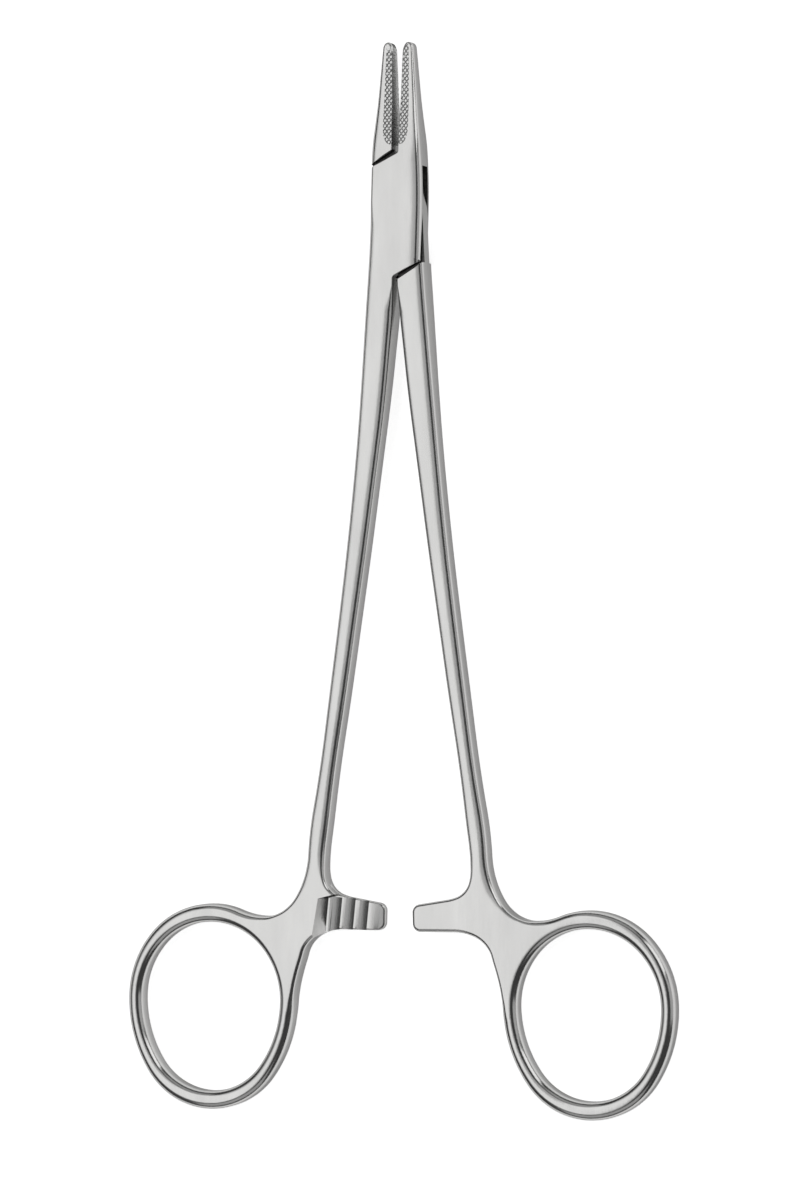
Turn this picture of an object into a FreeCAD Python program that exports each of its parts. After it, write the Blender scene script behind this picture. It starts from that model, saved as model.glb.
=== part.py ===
"""Surgical needle holder with a box lock, an opening ratchet and hatched jaw inserts.

Millimetres. The instrument lies flat: +Y runs to the jaw tips, +X to the right, +Z up.
The origin is on the axis of the lock pin, in the plane that the box lock rests on.

Both halves come from one forged blank, drawn in the closed pose about the pin:
its jaw is on the right above the pin and its shank on the left below it.
The box half is that blank with a slot through its middle. The tenon half is the
blank turned over about Y, with both faces cut back to the tenon that fills the slot.

Outlines are chains of arcs that run on from each other without a corner. On the shank
side a point is given by its distance left of the middle plane and its depth below the pin.
"""
import FreeCAD, Part
import math
import os

# Pose of the two halves
rest_opening = 3.4            # angle between the halves as they lie, degrees
face_gap = 0.10               # from the middle plane to the flat that stops a shank at the crotch
grip_gap_tip = 0.05           # from the middle plane to a grip face, at the tip
grip_gap_heel = 0.20          # the same at the heel of the jaw: the tips meet first

# Box lock
box_thickness = 5.8           # front plate to back plate
box_half_width = 4.42         # pin axis to the side of the box
step_angle = 30.0             # slant of the two steps
step_corner = 7.8             # height of each step's outer corner over the pin
step_corner_round = 0.5       # where the upper step turns up into the grip face
step_gap = 0.45               # between a step and the shoulder that closes on it
tenon_thickness = 2.6
tenon_side_clearance = 0.08   # between the tenon and each plate
tenon_end_clearance = 0.25    # between the tenon and the ends of the slot
tenon_relief = 0.9            # ground off the tenon's side at the open end of the slot
tenon_relief_foot = 1.3       # height over the pin where that starts
shoulder_round = 0.5          # at the shoulders' corners with the grip face and the shank's flat

# Lock pin, ground flush with the plates
pin_radius = 1.6
pin_running_clearance = 0.05

# Jaws
jaw_length = 29.05            # pin axis to the tip
jaw_tip_height = 0.98         # length of the tip's rounding
jaw_tip_width = 1.80          # across one jaw where the tip starts to round
jaw_tip_lean = 13.0           # turn of the tip's outline where the grip face cuts it, degrees
jaw_mid_width = 2.80
jaw_mid_height = 19.65
jaw_heel_width = 4.07
jaw_heel_height = 9.0
jaw_tip_thickness = 2.5
jaw_mid_thickness = 3.7
jaw_taper_start = 11.6        # height where the box's faces turn into the jaw's
jaw_edge_radius = 0.6
milling_allowance = 16.0      # height down to which the blank's jaw is forged on its far side

# Hatched inserts, let into the grip faces and open to both sides
insert_heel = 11.65           # height of the insert's lower end over the pin
insert_tip_width = 1.0
insert_mid_width = 1.55
insert_heel_width = 1.75
insert_heel_round = 2.6

# Shanks: share of the depth of the ring's top, distance of the middle line and width
shank_thickness = 4.3
shank_taper_start = 13.0      # depths between which the box's thickness runs out
shank_taper_end = 36.0
shank_split = 14.0            # the inner sides part from here on
shank_stations = [
    (0.213, 2.99, 4.62),
    (0.427, 4.93, 3.73),
    (0.640, 7.48, 3.19),
    (0.854, 10.37, 3.11),
]
face_blend_radius = 30.0      # in side view, where the box's faces turn into the jaws
jaw_blend_radius = 45.0       # and where that slope eases towards the tip
shank_blend_radius = 240.0

# Finger ring: an egg-shaped opening, widest above its middle, in a bow of nearly even width
ring_hole_across = 24.7
ring_hole_upper = 13.05       # from the widest line up to the top of the opening
ring_hole_lower = 15.65       # and down to its bottom
ring_side_wall = 2.53
ring_end_wall = 3.05
ring_distance = 29.38
ring_depth = 133.25           # the widest line, below the pin
rim_bevel = 0.7               # on every rim of the ring, the web, the arm and the shank

# Web between shank, ring and ratchet arm, set from the ring
web_outer_inset = 0.15        # the shank's outer side ends here, beyond the ring's inner side
web_outer_rise = 1.80         # and this far above the ring's top
web_outer_lean = 29.0         # its slant there, degrees
saddle_inset = 5.8            # lowest point of the dip between shank and ring
saddle_drop = 1.65
web_side_lean = 1.2           # the web's inner side, at a point above the ring's widest line
web_side_rise = 7.0
web_corner_lean = 2.3         # and where it turns under the arm
web_corner_drop = 2.85

# Ratchet arm
arm_rise = 17.4               # from the ring's widest line up to the arm's upper side at its tip
arm_width = 4.45
arm_overlap = 0.75            # how far the tip passes the middle plane when closed
arm_corner_radius = 1.35
arm_lower_run = 6.5           # the lower side is straight up to here
arm_lower_drop = 0.15
arm_upper_run = 5.3           # the upper side too
arm_upper_rise = 0.85
arm_neck = 8.35               # the fillet between arm and shank passes here
arm_neck_rise = 2.1
arm_root = 9.6                # and ends here
arm_root_rise = 5.8

# Ratchet teeth: grooves across the arm, with narrow lands between them
tooth_count = 3
tooth_pitch = 2.4
tooth_depth = 0.62
tooth_land = 0.28
first_land = 2.1              # middle of the land nearest the tip, from the middle plane
crest_clearance = 0.06        # from the mid-thickness plane to the crests
tooth_slant = 4.0             # the grooves' turn in plan, degrees
ramp_run = 1.05               # length of the ramp from the web's face down to the teeth
ramp_foot_gap = 0.16          # between the ramp's foot and the last land
ramp_slant = 11.0             # the turn in plan of the ramp's upper edge, degrees
ramp_corner_rise = 0.55       # the ramp ends this much above the arm's upper side at the tip
land_edge_radius = 0.35

half_box = box_thickness / 2
half_shank = shank_thickness / 2
opening_each = rest_opening / 2
step_tan = math.tan(math.radians(step_angle))
step_distance = (step_corner * math.cos(math.radians(step_angle))
                 + box_half_width * math.sin(math.radians(step_angle)))
ring_side = ring_distance - ring_hole_across / 2 - ring_side_wall
ring_top = ring_depth - ring_hole_upper - ring_end_wall
arm_top = ring_depth - arm_rise
arm_bottom = arm_top + arm_width
reach = 400.0                 # longer than the instrument, for cutters
tip_margin = 1.0              # how far cutters run past the tip
arm_margin = 5.0              # how far the ratchet's cutters run past the arm
same_place = 0.01             # places nearer each other than this are taken as one
upright = 0.02                # a face whose normal rises less than this stands upright
level = 0.9                   # a face whose normal rises more than this is a front or a back
UP = FreeCAD.Vector(0, 1, 0)
DOWN = FreeCAD.Vector(0, -1, 0)
OUT = FreeCAD.Vector(-1, 0, 0)


def point(x, y, z=0.0):
    return FreeCAD.Vector(x, y, z)


def left(distance, depth):
    """A point of the shank side, left of the middle plane and below the pin."""
    return point(-distance, -depth)


def slanted(degrees):
    """Direction that points down and leans outwards, on the shank side, by this angle."""
    angle = math.radians(degrees)
    return point(-math.sin(angle), -math.cos(angle))


def line(a, b):
    return Part.LineSegment(a, b).toShape()


def arc_along(start, way, end):
    """The arc that leaves its start in the given direction, or a line where it is straight."""
    chord = end - start
    across = point(-chord.y, chord.x)
    lean = (chord.x * way.y - chord.y * way.x) / (chord.Length + chord * way)
    if abs(lean) < 1e-6:
        return line(start, end)
    return Part.Arc(start, start + chord / 2 + across * (lean / 2), end).toShape()


def arc_pair(start, start_way, end, end_way):
    """Two arcs that join two points in given directions and meet without a corner."""
    way = end - start
    along = way * (start_way + end_way)
    bend = 2 * (1 - start_way * end_way)
    if bend < 1e-9:
        run = way * way / (2 * along)
    else:
        run = (math.sqrt(along ** 2 + bend * (way * way)) - along) / bend
    first_corner = start + start_way * run
    last_corner = end - end_way * run
    middle = (first_corner + last_corner) / 2
    middle_way = (last_corner - first_corner).normalize()
    return [arc_along(start, start_way, middle), arc_along(middle, middle_way, end)]


def smooth(points, start_way, end_way):
    """Chain of arcs through the points, in the direction of the circle through each three."""
    ways = [start_way]
    for before, here, after in zip(points, points[1:], points[2:]):
        first = here - before
        second = after - here
        ways.append((first / first.Length ** 2 + second / second.Length ** 2).normalize())
    ways.append(end_way)
    edges = []
    for number in range(len(points) - 1):
        edges += arc_pair(points[number], ways[number], points[number + 1], ways[number + 1])
    return edges


def corner_arc(corner, before, after, radius):
    """Rounding of a corner: the two tangent points and a point of the arc between them."""
    to_before = (before - corner).normalize()
    to_after = (after - corner).normalize()
    half_angle = to_before.getAngle(to_after) / 2
    run = radius / math.tan(half_angle)
    centre_way = (to_before + to_after).normalize()
    middle = corner + centre_way * (radius / math.sin(half_angle) - radius)
    return corner + to_before * run, middle, corner + to_after * run


def rounded_path(corners):
    """Straight runs between corners, each given with its radius; a radius of 0 stays sharp."""
    edges = []
    here = corners[0][0]
    for (before, _), (corner, radius), (after, _) in zip(corners, corners[1:], corners[2:]):
        if radius:
            start, middle, end = corner_arc(corner, before, after, radius)
            edges += [line(here, start), Part.Arc(start, middle, end).toShape()]
            here = end
        else:
            edges.append(line(here, corner))
            here = corner
    return edges + [line(here, corners[-1][0])]


def prism(edges, low, high):
    """Solid over a closed plan outline, from one height to another."""
    wire = Part.Wire(Part.__sortEdges__(edges))
    face = Part.Face(wire)
    face.translate(point(0, 0, low))
    return face.extrude(point(0, 0, high - low))


def grip_x(height):
    """Distance of the grip face from the middle plane."""
    share = (height - insert_heel) / (jaw_length - insert_heel)
    return grip_gap_heel + (grip_gap_tip - grip_gap_heel) * share


def step_height(x):
    """Height over the pin of a step's line, at a distance from the middle plane."""
    return step_corner + (box_half_width + x) * step_tan


def jaw_edges():
    """Outline of the forged jaw, from its far side round the tip to the lower step."""
    tip_height = jaw_length - jaw_tip_height
    tip_inner = point(grip_x(tip_height), tip_height)
    tip_outer = point(tip_inner.x + jaw_tip_width, tip_height)
    tip_top = point((tip_inner.x + tip_outer.x) / 2, jaw_length)
    way_up = slanted(jaw_tip_lean) * -1
    drop = tip_height - milling_allowance
    far_side = point(tip_inner.x - drop * way_up.x / way_up.y, milling_allowance)
    box_side = point(box_half_width, 0.0)
    outer = [
        tip_outer,
        point(jaw_mid_width, jaw_mid_height),
        point(jaw_heel_width, jaw_heel_height),
        box_side,
    ]
    way_out = (outer[1] - outer[0]).normalize()
    edges = [line(far_side, tip_inner)]
    edges += smooth([tip_inner, tip_top, tip_outer], way_up, way_out)
    edges += smooth(outer, way_out, DOWN)
    edges.append(line(box_side, point(box_half_width, -step_corner)))
    return edges


def shank_side(side):
    """Points of one side of the shank: side is 1 for the outer one and -1 for the inner one."""
    points = []
    for share, distance, width in shank_stations:
        points.append(left(distance + side * width / 2, share * ring_top))
    return points


def oval(side_wall, end_wall, quarters):
    """Quarters of the ring's egg shape, widened by its walls; each is a side and an end, 1 or -1."""
    centre = left(ring_distance, ring_depth)
    across = ring_hole_across / 2 + side_wall
    edges = []
    for side, end in quarters:
        along = (ring_hole_upper if end > 0 else ring_hole_lower) + end_wall
        start = centre + point(side * across, 0)
        edges += arc_pair(start, UP * end, centre + point(0, end * along), OUT * side)
    return edges


def arm_edges():
    """The ratchet arm, from the ring's inner side round its tip to the root on the shank."""
    low_corner = left(-arm_overlap, arm_bottom)
    high_corner = left(-arm_overlap, arm_top)
    under = left(arm_lower_run, arm_bottom + arm_lower_drop)
    over = left(arm_upper_run, arm_top - arm_upper_rise)
    root = left(arm_root, arm_top - arm_root_rise)
    web_side = [
        left(ring_side, ring_depth),
        left(ring_side - web_side_lean, ring_depth - web_side_rise),
        left(ring_side - web_corner_lean, arm_bottom + web_corner_drop),
        under,
    ]
    neck = left(arm_neck, arm_top - arm_neck_rise)
    tip = [
        (under, 0),
        (low_corner, arm_corner_radius),
        (high_corner, arm_corner_radius),
        (over, 0),
    ]
    edges = smooth(web_side, UP, (low_corner - under).normalize())
    edges += rounded_path(tip)
    edges += smooth([over, neck, root], (over - high_corner).normalize(), UP)
    return edges


def shank_edges():
    """The shank, ring and arm, from the box's left side round to the lower step's inner end."""
    box_side = point(-box_half_width, 0.0)
    web_outer = left(ring_side + web_outer_inset, ring_top - web_outer_rise)
    saddle = left(ring_side + saddle_inset, ring_top + saddle_drop)
    root = left(arm_root, arm_top - arm_root_rise)
    split = left(face_gap, shank_split)
    inner = shank_side(-1)
    inner.reverse()
    web_way = slanted(web_outer_lean)
    edges = [line(point(-box_half_width, milling_allowance), box_side)]
    edges += smooth([box_side] + shank_side(1) + [web_outer], DOWN, web_way)
    edges += smooth([web_outer, saddle], web_way, OUT)
    edges += smooth([saddle, left(ring_distance, ring_top)], OUT, OUT)
    edges += oval(ring_side_wall, ring_end_wall, [(-1, 1), (-1, -1), (1, -1)])
    edges += arm_edges()
    edges += smooth([root] + inner + [split], UP, UP)
    edges.append(line(split, point(-face_gap, -step_height(face_gap))))
    return edges


def blank_outline():
    jaw = jaw_edges()
    shank = shank_edges()
    far_side = jaw[0].Vertexes[0].Point
    forged_end = line(point(-box_half_width, milling_allowance), far_side)
    lower_step = line(point(box_half_width, -step_corner), point(-face_gap, -step_height(face_gap)))
    return jaw + [lower_step] + shank + [forged_end]


def thickness_body():
    """The side view drawn across the whole width: it sets the thickness at every height."""
    slope = (jaw_mid_thickness - jaw_tip_thickness) / 2 / (jaw_length - jaw_mid_height)
    beyond_tip = point(0, jaw_length + tip_margin, jaw_tip_thickness / 2 - slope * tip_margin)
    corners = [
        (beyond_tip, 0),
        (point(0, jaw_mid_height, jaw_mid_thickness / 2), jaw_blend_radius),
        (point(0, jaw_taper_start, half_box), face_blend_radius),
        (point(0, -shank_taper_start, half_box), shank_blend_radius),
        (point(0, -shank_taper_end, half_shank), shank_blend_radius),
        (point(0, -reach / 2, half_shank), 0),
    ]
    front = rounded_path(corners)
    back = [edge.mirror(point(0, 0, 0), point(0, 0, 1)) for edge in front]
    ends = [line(spot, point(0, spot.y, -spot.z)) for spot in (beyond_tip, corners[-1][0])]
    wire = Part.Wire(Part.__sortEdges__(front + back + ends))
    face = Part.Face(wire)
    face.translate(point(-reach / 4, 0, 0))
    return face.extrude(point(reach / 2, 0, 0))


def rim_edges(body, wanted):
    """Edges between the upright sides and the front and back faces, where wanted(point) holds."""
    found = []
    for edge in body.Edges:
        faces = body.ancestorsOfType(edge, Part.Face)
        if len(faces) != 2:
            continue
        middle = edge.valueAt((edge.FirstParameter + edge.LastParameter) / 2)
        slopes = []
        for face in faces:
            u, v = face.Surface.parameter(middle)
            slopes.append(abs(face.normalAt(u, v).z))
        if min(slopes) < upright and max(slopes) > level and wanted(middle):
            found.append(edge)
    return found


def on_jaw(spot):
    on_far_side = spot.y > milling_allowance + same_place
    return on_far_side or (spot.x > 0 and spot.y > -step_corner and spot.y < milling_allowance)


def in_ring_hole(spot):
    """Whether a place of the ring lies nearer to its opening than to its outer side."""
    across = (spot.x + ring_distance) / (ring_hole_across / 2 + ring_side_wall / 2)
    height = spot.y + ring_depth
    along = height / ((ring_hole_upper if height > 0 else ring_hole_lower) + ring_end_wall / 2)
    return across ** 2 + along ** 2 < 1


def on_shank(spot):
    on_step = abs(spot.y + step_height(-spot.x)) < same_place
    below_allowance = spot.y < milling_allowance - same_place
    return below_allowance and not (on_jaw(spot) or in_ring_hole(spot) or on_step)


def grip_cutter():
    """Room for the other jaw: everything over the upper step and beyond the grip face."""
    corner = point(grip_x(step_height(0.0)), step_height(0.0))
    top = point(grip_x(reach), reach)
    far = -reach * math.cos(math.radians(step_angle))
    foot = point(far, step_height(far))
    path = rounded_path([(foot, 0), (corner, step_corner_round), (top, 0)])
    side = [line(top, point(far, reach)), line(point(far, reach), foot)]
    return prism(path + side, -box_thickness, box_thickness)


def ratchet_cutter():
    """What is taken off the arm's upper half: room for the other arm, and the grooves of the teeth."""
    ramp_foot = first_land + tooth_count * tooth_pitch + ramp_foot_gap
    far = -arm_overlap - arm_margin
    above = arm_top - arm_margin
    corner = arm_top - ramp_corner_rise
    below = arm_bottom + arm_margin
    middle = (arm_top + arm_bottom) / 2
    top = half_shank + ramp_run

    def outline(height, offset, slant):
        lean = math.tan(math.radians(slant))
        corners = [
            left(offset + (corner - middle) * lean, corner),
            left(offset + (below - middle) * lean, below),
            left(far, below),
            left(far, above),
        ]
        wire = Part.makePolygon(corners + corners[:1])
        wire.translate(point(0, 0, height))
        return wire

    ramp_slope = ramp_run / (half_shank + crest_clearance)
    foot = outline(-crest_clearance, ramp_foot, tooth_slant)
    head = outline(top, ramp_foot + ramp_slope * (top + crest_clearance), ramp_slant)
    room = Part.makeLoft([foot, head], True, True)
    chord = (tooth_pitch - tooth_land) / 2
    groove_radius = (chord ** 2 + tooth_depth ** 2) / (2 * tooth_depth)
    axis_height = groove_radius - tooth_depth - crest_clearance
    lean = math.radians(tooth_slant)
    axis = point(math.sin(lean), math.cos(lean))
    under_foot = Part.Face(foot).extrude(point(0, 0, -shank_thickness))
    for number in range(tooth_count):
        offset = first_land + (number + 0.5) * tooth_pitch
        start = left(offset, middle) + point(0, 0, axis_height) - axis * arm_margin
        groove = Part.makeCylinder(groove_radius, 2 * arm_margin, start, axis)
        room = room.fuse(groove.common(under_foot))
    return room


def round_tip_land(body):
    """Round the arm's last crest where it meets the sides of the tip."""
    land_start = tooth_land / 2 - first_land

    def on_land(spot):
        on_crest = abs(spot.z + crest_clearance) < same_place
        return on_crest and spot.y < 0 and spot.x > land_start + same_place
    return body.makeFillet(land_edge_radius, rim_edges(body, on_land))


def blank():
    """The half before its lock is cut and its insert fitted: jaw on the right, shank on the left."""
    body = prism(blank_outline(), -box_thickness, box_thickness)
    hole = oval(0, 0, [(1, 1), (-1, 1), (-1, -1), (1, -1)])
    body = body.cut(prism(hole, -box_thickness, box_thickness))
    body = body.common(thickness_body())
    body = body.makeChamfer(rim_bevel, rim_edges(body, in_ring_hole))
    body = body.makeChamfer(rim_bevel, rim_edges(body, on_shank))
    body = body.makeFillet(jaw_edge_radius, rim_edges(body, on_jaw))
    body = body.cut(grip_cutter())
    body = body.cut(ratchet_cutter())
    return round_tip_land(body)


def insert_room():
    """The insert's place in the right-hand jaw: open at the tip, rounded at the heel."""
    top = point(insert_tip_width, jaw_length + tip_margin)
    middle = point(insert_mid_width, jaw_mid_height)
    heel_side = point(insert_heel_width, insert_heel + insert_heel_round)
    heel = point(grip_x(insert_heel), insert_heel)
    beyond = point(-box_half_width, 0)
    edges = smooth([top, middle, heel_side], (middle - top).normalize(), DOWN)
    edges += arc_pair(heel_side, DOWN, heel, OUT)
    edges += rounded_path([(heel, 0), (heel + beyond, 0), (top + beyond, 0), (top, 0)])
    return prism(edges, -box_thickness, box_thickness)


def turned_over(shape):
    """The same shape turned half round about Y."""
    return shape.rotated(point(0, 0), point(0, 1), 180)


def lock_strip(slant, distance, low, high):
    """Slab between two parallel slanted lines, this far either side of the pin."""
    slab = Part.makeBox(reach, 2 * distance, high - low, point(-reach / 2, -distance, low))
    return slab.rotated(point(0, 0), point(0, 0, 1), slant)


def pin_hole(radius):
    return Part.makeCylinder(radius, 2 * box_thickness, point(0, 0, -box_thickness))


def box_half(forging):
    """Jaw on the right, shank on the left, with front and back plates round the slot."""
    slot = tenon_thickness / 2 + tenon_side_clearance
    body = forging.cut(lock_strip(-step_angle, step_distance + tenon_end_clearance, -slot, slot))
    return body.cut(pin_hole(pin_radius))


def shoulder_corner(x, height, side):
    """What is rounded off where a shoulder meets the side of a jaw (side 1) or of a shank (-1)."""
    slant = math.radians(step_angle)
    corner = point(x, height)
    on_shoulder = corner + point(-math.cos(slant), -math.sin(slant)) * side
    start, middle, end = corner_arc(corner, on_shoulder, corner + UP * side, shoulder_round)
    beyond = corner + (corner - middle)
    return [line(start, beyond), line(beyond, end), Part.Arc(start, middle, end).toShape()]


def relief():
    """The wedge that is ground off the tenon's side, so that the slot stays open there."""
    inner = box_half_width - tenon_relief
    top = step_height(-inner)
    outer = box_half_width + tip_margin
    corners = [
        point(box_half_width, tenon_relief_foot),
        point(inner, top),
        point(inner, top + tip_margin),
        point(outer, top + tip_margin),
        point(outer, tenon_relief_foot),
    ]
    edges = [line(a, b) for a, b in zip(corners, corners[1:] + corners[:1])]
    return prism(edges, -box_thickness, box_thickness)


def tenon_half(forging):
    """Jaw on the left, shank on the right, thinned to the tenon between its two shoulders."""
    half_tenon = tenon_thickness / 2
    shoulder = step_distance + step_gap
    rise = shoulder / math.cos(math.radians(step_angle))
    jaw_corner = shoulder_corner(-grip_gap_heel, rise - grip_gap_heel * step_tan, 1)
    shank_corner = shoulder_corner(face_gap, face_gap * step_tan - rise, -1)
    body = turned_over(forging)
    for low, high in ((half_tenon, box_thickness), (-box_thickness, -half_tenon)):
        body = body.cut(lock_strip(step_angle, shoulder, low, high))
        body = body.cut(prism(jaw_corner, low, high))
        body = body.cut(prism(shank_corner, low, high))
    body = body.cut(relief())
    return body.cut(pin_hole(pin_radius + pin_running_clearance))


def lock_pin():
    return Part.makeCylinder(pin_radius, box_thickness, point(0, 0, -half_box))


def placed(shape, turn):
    """A piece turned about the pin to where it lies, with the box lock's back plate at height 0."""
    laid = shape.rotated(point(0, 0), point(0, 0, 1), turn)
    laid.translate(point(0, 0, half_box))
    return laid


def main():
    os.makedirs("parts", exist_ok=True)
    whole = blank()
    room = insert_room()
    forging = whole.cut(room)
    insert = whole.common(room)
    pieces = {
        "box_half": placed(box_half(forging), -opening_each),
        "box_jaw_insert": placed(insert, -opening_each),
        "lock_pin": placed(lock_pin(), -opening_each),
        "tenon_half": placed(tenon_half(forging), opening_each),
        "tenon_jaw_insert": placed(turned_over(insert), opening_each),
    }
    for name, shape in pieces.items():
        shape.exportStep("parts/" + name + ".step")
        state = "valid" if shape.isValid() else "not valid"
        print(name, state, len(shape.Solids), "solid", round(shape.Volume, 1), "mm3")


main()
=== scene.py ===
"""Looks of the needle holder: its two halves, their hatched inserts and the lock pin.

Metres. Both halves are drawn from one blank, in the closed pose about the lock pin: jaw on the
right above the pin, shank on the left below it. Places in plan are complex numbers, x + y j.
"""
import cmath
import math

import bmesh
import bpy
import numpy as np
from mathutils import Matrix, Vector
from mathutils.geometry import delaunay_2d_cdt


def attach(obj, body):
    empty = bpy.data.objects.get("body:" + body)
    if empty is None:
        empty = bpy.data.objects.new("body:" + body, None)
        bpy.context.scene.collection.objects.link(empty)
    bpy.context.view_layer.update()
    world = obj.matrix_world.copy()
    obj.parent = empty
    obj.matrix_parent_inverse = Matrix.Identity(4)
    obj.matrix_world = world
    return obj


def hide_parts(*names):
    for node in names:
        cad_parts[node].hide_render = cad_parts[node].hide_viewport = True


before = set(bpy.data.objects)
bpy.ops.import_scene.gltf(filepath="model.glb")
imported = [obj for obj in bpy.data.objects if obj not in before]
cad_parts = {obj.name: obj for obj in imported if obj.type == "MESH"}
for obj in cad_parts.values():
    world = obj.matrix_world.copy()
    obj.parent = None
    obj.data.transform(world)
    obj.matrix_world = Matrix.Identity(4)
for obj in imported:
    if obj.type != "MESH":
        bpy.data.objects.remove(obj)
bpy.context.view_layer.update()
MM = 0.001

# Pose of the two halves
rest_opening = math.radians(3.4)
face_gap = 0.10 * MM
grip_gap_tip = 0.05 * MM
grip_gap_heel = 0.20 * MM

# Box lock
box_thickness = 5.8 * MM
box_half_width = 4.42 * MM
step_angle = math.radians(30)
step_corner = 7.8 * MM
step_corner_round = 0.5 * MM
step_gap = 0.45 * MM
tenon_thickness = 2.6 * MM
tenon_side_clearance = 0.08 * MM
tenon_end_clearance = 0.25 * MM
pin_radius = 1.6 * MM

# Jaws
jaw_length = 29.05 * MM
jaw_tip_height = 0.98 * MM
jaw_tip_width = 1.80 * MM
jaw_tip_lean = math.radians(13)
jaw_mid_width = 2.80 * MM
jaw_mid_height = 19.65 * MM
jaw_heel_width = 4.07 * MM
jaw_heel_height = 9.0 * MM
jaw_tip_thickness = 2.5 * MM
jaw_mid_thickness = 3.7 * MM
jaw_taper_start = 11.6 * MM

# Hatched inserts
insert_heel = 11.65 * MM
insert_tip_width = 1.0 * MM
insert_mid_width = 1.55 * MM
insert_heel_width = 1.75 * MM
insert_heel_round = 2.6 * MM
hatch_pitch = 0.56 * MM
hatch_depth = 0.10 * MM
hatch_groove_share = 0.32
hatch_angle = math.radians(37)
hatch_end_tenon = 1.2 * MM       # plain metal between the hatching and the jaw's tip
hatch_end_box = 0.3 * MM
hatch_fade = 0.4 * MM
insert_rows = 220
insert_wall_rows = 40
hatch_points = 10                # of the mesh in each pitch of the hatching
hatch_reach = 2.0 * MM           # of the fine points, across the jaw
hatch_margin = 0.03 * MM
insert_spare = 0.5 * MM          # of the blank below the insert's heel, cut off by the pocket

# Shanks: share of the depth of the ring's top, distance of the middle line and width
shank_thickness = 4.3 * MM
shank_taper_start = 13.0 * MM
shank_taper_end = 36.0 * MM
shank_split = 14.0 * MM
shank_stations = [
    (0.213, 2.99 * MM, 4.62 * MM),
    (0.427, 4.93 * MM, 3.73 * MM),
    (0.640, 7.48 * MM, 3.19 * MM),
    (0.854, 10.37 * MM, 3.11 * MM),
]
face_blend_radius = 30.0 * MM
jaw_blend_radius = 45.0 * MM
shank_blend_radius = 240.0 * MM

# Finger ring
ring_hole_across = 24.7 * MM
ring_hole_upper = 13.05 * MM
ring_hole_lower = 15.65 * MM
ring_side_wall = 2.53 * MM
ring_end_wall = 3.05 * MM
ring_distance = 29.38 * MM
ring_depth = 133.25 * MM

# Web between shank, ring and ratchet arm
web_outer_inset = 0.15 * MM
web_outer_rise = 1.80 * MM
web_outer_lean = math.radians(29)
saddle_inset = 5.8 * MM
saddle_drop = 1.65 * MM
web_side_lean = 1.2 * MM
web_side_rise = 7.0 * MM
web_corner_lean = 2.3 * MM
web_corner_drop = 2.85 * MM

# Ratchet arm
arm_rise = 17.4 * MM
arm_width = 4.45 * MM
arm_overlap = 0.75 * MM
arm_corner_radius = 1.35 * MM
arm_lower_run = 6.5 * MM
arm_lower_drop = 0.15 * MM
arm_upper_run = 5.3 * MM
arm_upper_rise = 0.85 * MM
arm_neck = 8.35 * MM
arm_neck_rise = 2.1 * MM
arm_root = 9.6 * MM
arm_root_rise = 5.8 * MM

# Ratchet teeth
tooth_count = 3
tooth_pitch = 2.4 * MM
tooth_land = 0.28 * MM
tooth_fall = 0.33 * MM           # of a tooth's slope, from its crest to the next one's wall
tooth_wall = 0.24 * MM
tooth_lead = 0.6                 # share of the fall that a straight slope would have
tooth_rows = 10
tip_fall = 0.30 * MM             # from the last crest to the tip
tip_rise = 2.0 * MM              # of the slope's cutter above the grooves'
wall_low = (0.55, -0.03 * MM)    # places on the wall: share of its width, height over the floor
wall_high = (0.20, 0.04 * MM)
edge_margin = 0.3 * MM           # of the cutters beyond the metal
arc_rows = 6
first_land = 2.1 * MM
crest_clearance = 0.06 * MM
tooth_slant = math.radians(4)
ramp_run = 1.30 * MM
ramp_foot_gap = 0.16 * MM
ramp_slant = math.radians(8)
ramp_corner_rise = 0.55 * MM
land_edge_radius = 0.35 * MM
ratchet_end = first_land + tooth_count * tooth_pitch

# Rims: how far the rounding reaches into the face and down the side, then how much the
# ground face falls towards the rim, and over what distance
box_rim = (0.45 * MM, 0.40 * MM, 0.10 * MM, 1.9 * MM)
shank_rim = (0.60 * MM, 0.55 * MM, 0.30 * MM, 1.65 * MM)
web_rim = (0.60 * MM, 0.60 * MM, 0.06 * MM, 1.2 * MM)
ring_rim = (1.26 * MM, 1.25 * MM, 0.0, 1.2 * MM)
heel_rim = (0.80 * MM, 0.80 * MM, 0.29 * MM, 2.7 * MM)
jaw_rim = (0.65 * MM, 0.65 * MM, 0.08 * MM, 1.4 * MM)
tip_rim = (0.42 * MM, 0.42 * MM, 0.03 * MM, 0.8 * MM)
edge_rim = (0.14 * MM, 0.14 * MM, 0.0, 0.2 * MM)
pocket_rim = (0.05 * MM, 0.05 * MM, 0.0, 0.1 * MM)
widest_rim = 2.7 * MM
rim_blend = 4.0 * MM
rim_overrun = 1.5 * MM

# Details of the lock
crotch_round = 0.8 * MM
shoulder_round = 0.5 * MM
tenon_relief = 0.9 * MM
tenon_relief_foot = 1.3 * MM

# How far cutters and profiles reach past the metal
past_end = 1 * MM
past_side = 5 * MM
strip_reach = 20 * MM

# Fineness of the meshes
step_along = 0.30 * MM
step_turn = math.radians(4)
inner_step = 0.5 * MM
rim_rows = [0.02, 0.08, 0.17, 0.29, 0.44, 0.62, 0.80, 1.0, 1.3, 1.7]
row_search = 2.0 * MM            # for outlines nearer to a row's place than its own
row_tolerance = 0.985
lattice_margin = 1.9             # of the widest common rim, kept free of inner places
rim_point_gap = 0.05 * MM
band_height = 2.0 * MM
same_line = 1e-7
same_place = 1e-6
smooth_angle = math.radians(32)
step_paint = 0.2 * MM            # to each side of a step's line
step_paint_end = 0.3 * MM

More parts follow.
